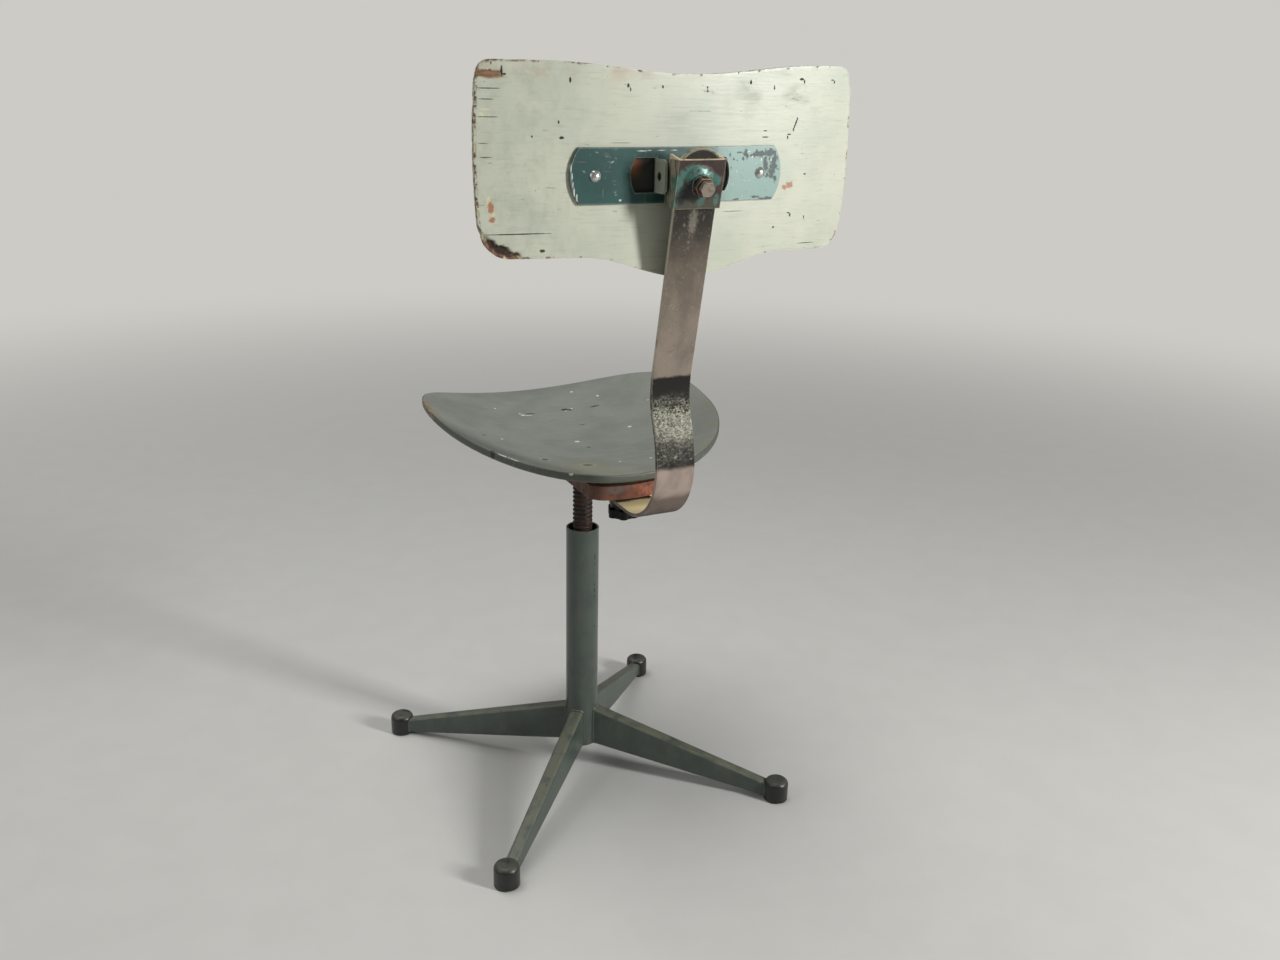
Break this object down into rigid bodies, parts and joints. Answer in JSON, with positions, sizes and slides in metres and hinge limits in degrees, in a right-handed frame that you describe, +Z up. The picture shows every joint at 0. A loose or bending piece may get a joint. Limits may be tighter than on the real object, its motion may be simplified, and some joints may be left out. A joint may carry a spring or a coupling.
{
  "type": "swivel chair",
  "caption": "Industrial swivel work chair: dished seat on a screw spindle, four-arm base, backrest that slides and tilts on a bent spring-steel bar.",
  "frame": {"origin": "on the axis of the column at the floor", "axes": "+Z up along the column; the sitter faces -Y, the backrest is toward +Y; +X is the sitter's left"},
  "size_m": [0.4122, 0.4894, 0.87],
  "materials": {
    "base_enamel": "glossy dark grey-green enamel, worn at the edges",
    "dark_steel": "oiled steel, dark brown with age",
    "black_rubber": "matt",
    "rust_enamel": "orange-brown primer and rust with grey patches",
    "seat_paint": "moulded plywood under grey-green semi-gloss paint, chipped",
    "brass": "dull",
    "spring_steel": "bare spring steel, brown-grey patina and scratches",
    "black_plastic": "phenolic moulding, worn satin",
    "rusted_steel": "dark brown rust with remains of teal paint",
    "teal_enamel": "teal enamel, chipped to dark metal",
    "backrest_paint": "moulded plywood under pale cream-green paint, chipped and cracked",
    "rivet_aluminium": "bright, slightly dull"
  },
  "bodies": {
    "base": {"column_tube": "base_enamel", "spindle_nut": "dark_steel", "arm_1": "base_enamel", "arm_2": "base_enamel", "arm_3": "base_enamel", "arm_4": "base_enamel", "foot_cap_1": "base_enamel", "foot_cap_2": "base_enamel", "foot_cap_3": "base_enamel", "foot_cap_4": "base_enamel", "rubber_pad_1": "black_rubber", "rubber_pad_2": "black_rubber", "rubber_pad_3": "black_rubber", "rubber_pad_4": "black_rubber"},
    "lift": {"stop_washer": "dark_steel"},
    "seat": {"spindle": "dark_steel", "stop_bolt": "dark_steel", "spindle_collar": "dark_steel", "seat_pan": "rust_enamel", "bar_saddle": "dark_steel", "clamp_stud": "dark_steel", "seat_shell": "seat_paint", "seat_inserts": "brass", "seat_spacers": "black_rubber", "seat_bolts": "dark_steel"},
    "knob": {"clamp_knob": "black_plastic", "knob_washer": "dark_steel"},
    "bar": {"back_bar": "spring_steel"},
    "clamp": {"clamp_box": "rusted_steel", "clamp_pad": "rusted_steel", "weld_nut": "rusted_steel", "hinge_pin": "dark_steel", "hinge_washers": "dark_steel"},
    "screw": {"clamp_screw": "spring_steel"},
    "backrest": {"pivot_plate": "teal_enamel", "backrest_shell": "backrest_paint", "backrest_rivets": "rivet_aluminium"}
  },
  "joints": [
    {"name": "seat_lift", "type": "slide", "parent": "base", "child": "lift", "axis": [0, 0, 1], "range_m": [-0.0605, 0.0715]},
    {"name": "seat_spin", "type": "hinge", "parent": "lift", "child": "seat", "pos_m": [0, 0, 0.4], "axis": [0, 0, 1], "range_deg": [-3960, 4680]},
    {"name": "seat_depth", "type": "slide", "parent": "seat", "child": "bar", "axis": [0, 1, 0], "range_m": [-0.02, 0.025]},
    {"name": "knob_turn", "type": "hinge", "parent": "seat", "child": "knob", "pos_m": [0, 0.114, 0.4], "axis": [0, 0, 1], "continuous": true},
    {"name": "back_height", "type": "slide", "parent": "bar", "child": "clamp", "axis": [0, 0.2062, 0.9785], "range_m": [-0.1, 0.008]},
    {"name": "clamp_screw_turn", "type": "hinge", "parent": "clamp", "child": "screw", "pos_m": [0, 0.26073, 0.76652], "axis": [0, 0.9785, -0.2062], "continuous": true},
    {"name": "back_tilt", "type": "hinge", "parent": "clamp", "child": "backrest", "pos_m": [0, 0.23969, 0.77096], "axis": [-1, 0, 0], "range_deg": [-6, 15]}
  ],
  "couplings": [
    {"joint": "seat_lift", "follows": "seat_spin", "m_per_rad": 0.00087535}
  ]
}
